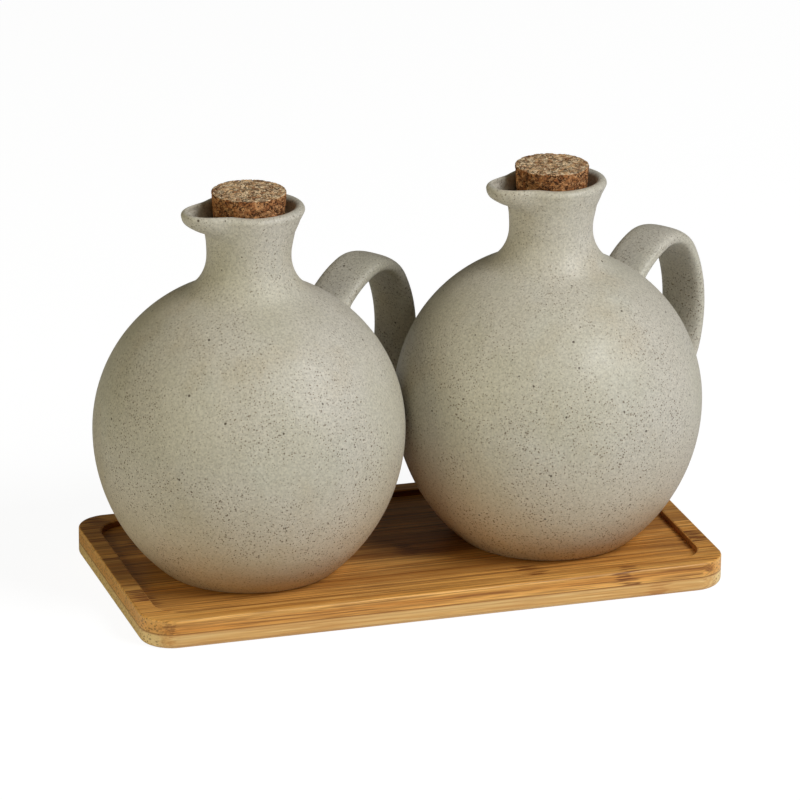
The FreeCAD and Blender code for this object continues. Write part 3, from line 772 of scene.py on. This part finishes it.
def fibres_along(finish, place, length, width, detail):
    """Noise drawn out along the fibres, for streaks of a given length and width in metres."""
    scale = finish.add("ShaderNodeMapping",
                       {"Vector": place, "Scale": (1 / length, 1 / width, 1 / width)})
    return finish.noise(1.0, detail, 0.6, vector=scale.outputs["Vector"], distortion=0.15)


def streaked(finish, place, own, fibres, light, dark, deep):
    """The colour of the slats: each has a tone of its own, with streaks of several widths."""
    streaks = fibres_along(finish, place, 0.12, 0.003, 5)
    broad = fibres_along(finish, place, 0.2, 0.0016, 3)
    thin = fibres_along(finish, place, 0.02, 0.0004, 2)
    pale = fibres_along(finish, place, 0.05, 0.0009, 2)
    colour = finish.mix(finish.between(streaks, 0.36, 0.64), light, dark)
    colour = finish.mix(finish.between(own, 0.0, 1.0, 0.0, 0.5), colour, deep)
    colour = finish.mix(finish.between(broad, 0.5, 0.66, 0.0, 0.6), colour, deep)
    colour = finish.mix(finish.between(fibres, 0.48, 0.64, 0.0, 0.6), colour, deep)
    colour = finish.mix(finish.between(thin, 0.42, 0.62, 0.0, 0.4), colour, deep)
    return finish.mix(finish.between(pale, 0.54, 0.74, 0.0, 0.5), colour, light)


def knuckles(finish, x, own, fibres):
    """A mask of the knuckles, one across each slat here and there."""
    wander = finish.times(finish.noise(1.0, 2, vector=finish.stretched(40, 900, 900)), 0.018)
    along_slat = finish.maths("ADD", finish.maths("ADD", x, wander), finish.times(own, 0.31))
    part = finish.maths("FRACT", finish.maths("DIVIDE", along_slat, KNUCKLE_SPACING))
    phase = finish.maths("ABSOLUTE", finish.maths("SUBTRACT", part, 0.5))
    ragged = finish.between(fibres, 0.4, 0.54, 0.1, 1.0)
    return finish.times(finish.between(phase, 0.022, 0.01), ragged)


def glue_lines(finish, y, breadth):
    """A mask of the glue lines between the slats."""
    part = finish.maths("FRACT", finish.maths("DIVIDE", y, breadth))
    across = finish.maths("ABSOLUTE", finish.maths("SUBTRACT", part, 0.5))
    return finish.between(across, 0.484, 0.497, 0.0, 0.6)


def with_end_grain(finish, colour, light):
    """The ends of the slats show the dark dots of the bamboo's bundles of fibres."""
    facing_end = finish.between(finish.maths("ABSOLUTE", finish.axis("X", finish.facing())), 0.4, 0.75)
    bundles = finish.cells(1100, finish.stretched(0.12, 1, 1))
    dots = finish.between(bundles.outputs["Distance"], 0.45, 0.2)
    end_colour = finish.mix(finish.times(dots, 0.8), light, linear(112, 68, 28))
    return finish.mix(finish.times(facing_end, 0.7), colour, end_colour)


def with_recess(finish, colour, x, y, z):
    """The recess floor is drawn darker, and the recess's wall is painted darker as shade."""
    sunk = finish.between(z, RECESS_FLOOR + 0.2 * MM, RECESS_FLOOR + 1.2 * MM, 1.0, 0.0)
    sunk = finish.times(sunk, finish.maths("GREATER_THAN", z, SEAM_HEIGHT + 1.0 * MM))
    colour = finish.mix(finish.times(sunk, 0.22), colour, linear(226, 194, 140), mode="MULTIPLY")

    inside_x = finish.maths("LESS_THAN", finish.maths("ABSOLUTE", x), TRAY_HALF_LENGTH - RIM_INSET)
    inside_y = finish.maths("LESS_THAN", finish.maths("ABSOLUTE", y), TRAY_HALF_WIDTH - RIM_INSET)
    upright = finish.between(finish.maths("ABSOLUTE", finish.axis("Z", finish.facing())), 0.75, 0.3)
    above_floor = finish.maths("GREATER_THAN", z, RECESS_FLOOR)
    # painted shade: the recess's upright wall is darkened as if it lay in shadow
    wall = finish.times(finish.times(inside_x, inside_y), finish.times(upright, above_floor))
    return finish.mix(finish.times(wall, 0.85), colour, linear(150, 104, 62), mode="MULTIPLY")


def bamboo(name, light, dark, deep, breadth, seed):
    """Bamboo slats glued side by side, with their long fibres, knuckles and end grain.

    Light, dark and deep are its colours, and breadth is the width of one slat in metres.
    """
    finish = Finish(name, roughness=0.42, specular=0.4, coat=0.15, coat_roughness=0.35)
    x, y, z = (finish.axis(letter) for letter in "XYZ")
    slat = finish.maths("FLOOR", finish.maths("DIVIDE", y, breadth))
    tone = finish.add("ShaderNodeTexWhiteNoise", {"W": finish.maths("ADD", slat, seed)},
                      noise_dimensions="1D")
    own = tone.outputs["Value"]

    # each slat's fibres are drawn from another stretch of the noise
    shifted = finish.maths("ADD", x, finish.times(own, 7.0))
    apart = finish.add("ShaderNodeCombineXYZ", {"X": shifted, "Y": y, "Z": z}).outputs[0]
    fibres = fibres_along(finish, apart, 0.035, 0.0006, 3)
    colour = streaked(finish, apart, own, fibres, light, dark, deep)
    colour = finish.mix(finish.times(knuckles(finish, x, own, fibres), 0.95), colour, deep)
    line = glue_lines(finish, y, breadth)
    colour = finish.mix(line, colour, deep)
    colour = with_end_grain(finish, colour, light)
    colour = with_recess(finish, colour, x, y, z)

    # the joint between the two boards
    from_seam = finish.maths("ABSOLUTE", finish.maths("SUBTRACT", z, SEAM_HEIGHT))
    colour = finish.mix(finish.between(from_seam, 0.0005, 0.0001, 0.0, 0.7), colour, deep)
    rough = finish.between(fibres, 0.3, 0.7, 0.36, 0.52)
    return finish.paint(colour, rough, (
        (finish.noise(1.0, 2, vector=finish.stretched(12, 700, 700)), 0.00012),
        (finish.maths("SUBTRACT", 1.0, line), 0.00015),
    ))


# --- stage, light and camera ---------------------------------------------------------------------

CAMERA_TURN = math.radians(-17.56)
CAMERA_RISE = math.radians(20.05)
CAMERA_ROLL = math.radians(0.51)
CAMERA_DISTANCE = 1.9093
CAMERA_LENS = 257.6
AIM_RIGHT = 0.0006
AIM_UP = 0.0556

LAMP_DISTANCE = 1.6
LAMP_SIZE = 0.8
LAMP_AIM = Vector((0, 0, 0.07))
# each lamp's direction, as parts to the camera's right, straight up and back to the camera,
# with its power and its colour
LAMPS = {
    "key": ((0.72, 0.55, 0.47), 20.2, (0.95, 0.98, 1.0)),
    "side_fill": ((-0.74, 0.08, 0.68), 6.6, (1.0, 0.95, 0.66)),
}
FILL_COLOUR = (1.0, 0.9, 0.7, 1)
FILL_STRENGTH = 0.09

FLOOR_HALF = 4.0
FLOOR_COLOUR = (0.85, 0.86, 0.89, 1)
FLOOR_GLOW = 1.11           # strength of the white that only the camera sees in the floor,
FLOOR_GLOW_SHARE = 0.84     # and its share there; the rest is the lit floor with its shadow


def camera_axes():
    """The camera's right, up and back directions."""
    back = Vector((math.sin(CAMERA_TURN) * math.cos(CAMERA_RISE),
                   -math.cos(CAMERA_TURN) * math.cos(CAMERA_RISE), math.sin(CAMERA_RISE)))
    level = Vector((math.cos(CAMERA_TURN), math.sin(CAMERA_TURN), 0))
    upright = back.cross(level)
    right = level * math.cos(CAMERA_ROLL) + upright * math.sin(CAMERA_ROLL)
    return right, back.cross(right), back


def make_camera():
    right, up, back = camera_axes()
    aim = right * AIM_RIGHT + up * AIM_UP
    lens = bpy.data.cameras.new("camera")
    lens.lens = CAMERA_LENS
    lens.clip_start = 0.05
    lens.clip_end = 20
    camera = bpy.data.objects.new("camera", lens)
    pose = Matrix((right, up, back)).transposed().to_4x4()
    pose.translation = aim + back * CAMERA_DISTANCE
    camera.matrix_world = pose
    bpy.context.scene.collection.objects.link(camera)
    bpy.context.scene.camera = camera


def add_lamp(name, direction, power, colour):
    """A round lamp that looks at the jugs."""
    right, _up, back = camera_axes()
    way = right * direction[0] + Vector((0, 0, 1)) * direction[1] + back * direction[2]
    way.normalize()
    lamp = bpy.data.lights.new(name, "AREA")
    lamp.shape = "DISK"
    lamp.size = LAMP_SIZE
    lamp.energy = power
    lamp.color = colour
    holder = bpy.data.objects.new(name, lamp)
    holder.matrix_world = (Matrix.Translation(LAMP_AIM + way * LAMP_DISTANCE)
                           @ way.to_track_quat("Z", "Y").to_matrix().to_4x4())
    bpy.context.scene.collection.objects.link(holder)


def make_floor():
    material = bpy.data.materials.new("floor")
    material.use_nodes = True
    tree = material.node_tree
    shader = tree.nodes["Principled BSDF"]
    shader.inputs["Base Color"].default_value = FLOOR_COLOUR
    shader.inputs["Roughness"].default_value = 0.9
    shader.inputs["Specular IOR Level"].default_value = 0.0
    glow = tree.nodes.new("ShaderNodeEmission")
    glow.inputs["Strength"].default_value = FLOOR_GLOW
    paths = tree.nodes.new("ShaderNodeLightPath")
    share = tree.nodes.new("ShaderNodeMath")
    share.operation = "MULTIPLY"
    share.inputs[1].default_value = FLOOR_GLOW_SHARE
    mixer = tree.nodes.new("ShaderNodeMixShader")
    output = tree.nodes["Material Output"]
    tree.links.new(paths.outputs["Is Camera Ray"], share.inputs[0])
    tree.links.new(share.outputs[0], mixer.inputs[0])
    tree.links.new(shader.outputs[0], mixer.inputs[1])
    tree.links.new(glow.outputs[0], mixer.inputs[2])
    tree.links.new(mixer.outputs[0], output.inputs["Surface"])
    mesh = bpy.data.meshes.new("floor")
    corners = [(-1, -1), (1, -1), (1, 1), (-1, 1)]
    mesh.from_pydata([(FLOOR_HALF * x, FLOOR_HALF * y, 0) for x, y in corners], [], [(0, 1, 2, 3)])
    mesh.materials.append(material)
    floor = bpy.data.objects.new("floor", mesh)
    bpy.context.scene.collection.objects.link(floor)


def make_world():
    """A warm, even fill that the camera sees as white."""
    world = bpy.data.worlds.new("studio")
    bpy.context.scene.world = world
    world.use_nodes = True
    tree = world.node_tree
    tree.nodes.clear()
    fill = tree.nodes.new("ShaderNodeBackground")
    fill.inputs["Color"].default_value = FILL_COLOUR
    fill.inputs["Strength"].default_value = FILL_STRENGTH
    white = tree.nodes.new("ShaderNodeBackground")
    paths = tree.nodes.new("ShaderNodeLightPath")
    mixer = tree.nodes.new("ShaderNodeMixShader")
    output = tree.nodes.new("ShaderNodeOutputWorld")
    tree.links.new(paths.outputs["Is Camera Ray"], mixer.inputs[0])
    tree.links.new(fill.outputs[0], mixer.inputs[1])
    tree.links.new(white.outputs[0], mixer.inputs[2])
    tree.links.new(mixer.outputs[0], output.inputs["Surface"])


# --- the set -------------------------------------------------------------------------------------

clay = stoneware()
cork = pressed_cork()
for side in SIDES:
    make_jug_body(side, clay)
    make_handle(side, clay)
    make_cork(side, cork)

tray_finishes = {
    "tray_top": bamboo("bamboo_top", linear(250, 190, 104), linear(222, 154, 70), linear(118, 66, 22),
                       slat_width("tray_top_strip_3", 2), 3.0),
    "tray_base": bamboo("bamboo_base", linear(252, 222, 156), linear(244, 200, 126), linear(196, 138, 74),
                        slat_width("tray_base_strip_3", 1), 11.0),
}
for name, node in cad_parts.items():
    for board, finish in tray_finishes.items():
        if name.startswith(board):
            for holder in node.material_slots:
                holder.material = finish

make_floor()
make_world()
make_camera()
for name, (direction, power, colour) in LAMPS.items():
    add_lamp(name, direction, power, colour)

scene = bpy.context.scene
scene.view_settings.view_transform = "Standard"
